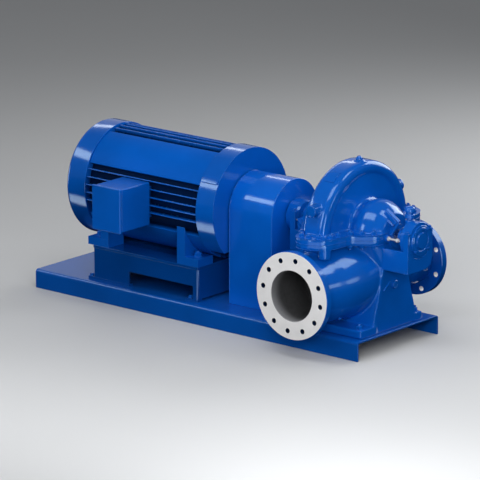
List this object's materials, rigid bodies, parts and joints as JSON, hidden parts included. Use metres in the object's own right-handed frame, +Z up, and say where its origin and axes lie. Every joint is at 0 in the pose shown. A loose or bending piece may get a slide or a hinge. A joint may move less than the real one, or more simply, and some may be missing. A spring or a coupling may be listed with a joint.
{
  "type": "split case pump set",
  "caption": "Horizontal split case pump driven by a finned electric motor through a guarded coupling, all on a long bent-plate baseplate.",
  "frame": {"origin": "middle of the object's outline on the floor", "axes": "+X along the shaft from the motor to the pump, -Y out of the large suction flange, +Z up"},
  "size_m": [1.9752, 0.888, 0.8143],
  "materials": {
    "base_paint": "gloss blue enamel on bent and welded plate",
    "motor_paint": "gloss blue enamel on a ribbed casting",
    "guard_paint": "gloss blue enamel on sheet metal",
    "pump_paint": "gloss blue enamel on a sand casting",
    "flange_paint": "gloss blue enamel, with a bare machined joint face",
    "steel": "turned steel"
  },
  "bodies": {
    "root": {"base_plate": "base_paint", "bearing_breather": "pump_paint", "casing_drain_plug": "pump_paint", "casing_nameplate": "steel", "casing_top_plug": "pump_paint", "coupling_guard_hood": "guard_paint", "coupling_guard_motor_plate": "guard_paint", "coupling_guard_pump_plate": "guard_paint", "discharge_flange": "flange_paint", "inboard_bearing_housing": "pump_paint", "inboard_gland": "pump_paint", "lower_casing": "pump_paint", "motor_drive_end_shield": "motor_paint", "motor_fan_cover": "motor_paint", "motor_foot_front_drive_end": "motor_paint", "motor_foot_front_fan_end": "motor_paint", "motor_foot_rear_drive_end": "motor_paint", "motor_foot_rear_fan_end": "motor_paint", "motor_frame": "motor_paint", "motor_shield_lug": "motor_paint", "motor_terminal_box": "motor_paint", "outboard_bearing_cover": "pump_paint", "outboard_bearing_housing": "pump_paint", "outboard_gland": "pump_paint", "pump_shaft_inboard": "steel", "pump_shaft_outboard": "steel", "riser_end_plate_fan_side": "base_paint", "riser_end_plate_pump_side": "base_paint", "riser_front_rail": "base_paint", "riser_rear_rail": "base_paint", "riser_top_plate": "base_paint", "suction_flange": "flange_paint", "upper_casing": "pump_paint"}
  },
  "joints": []
}
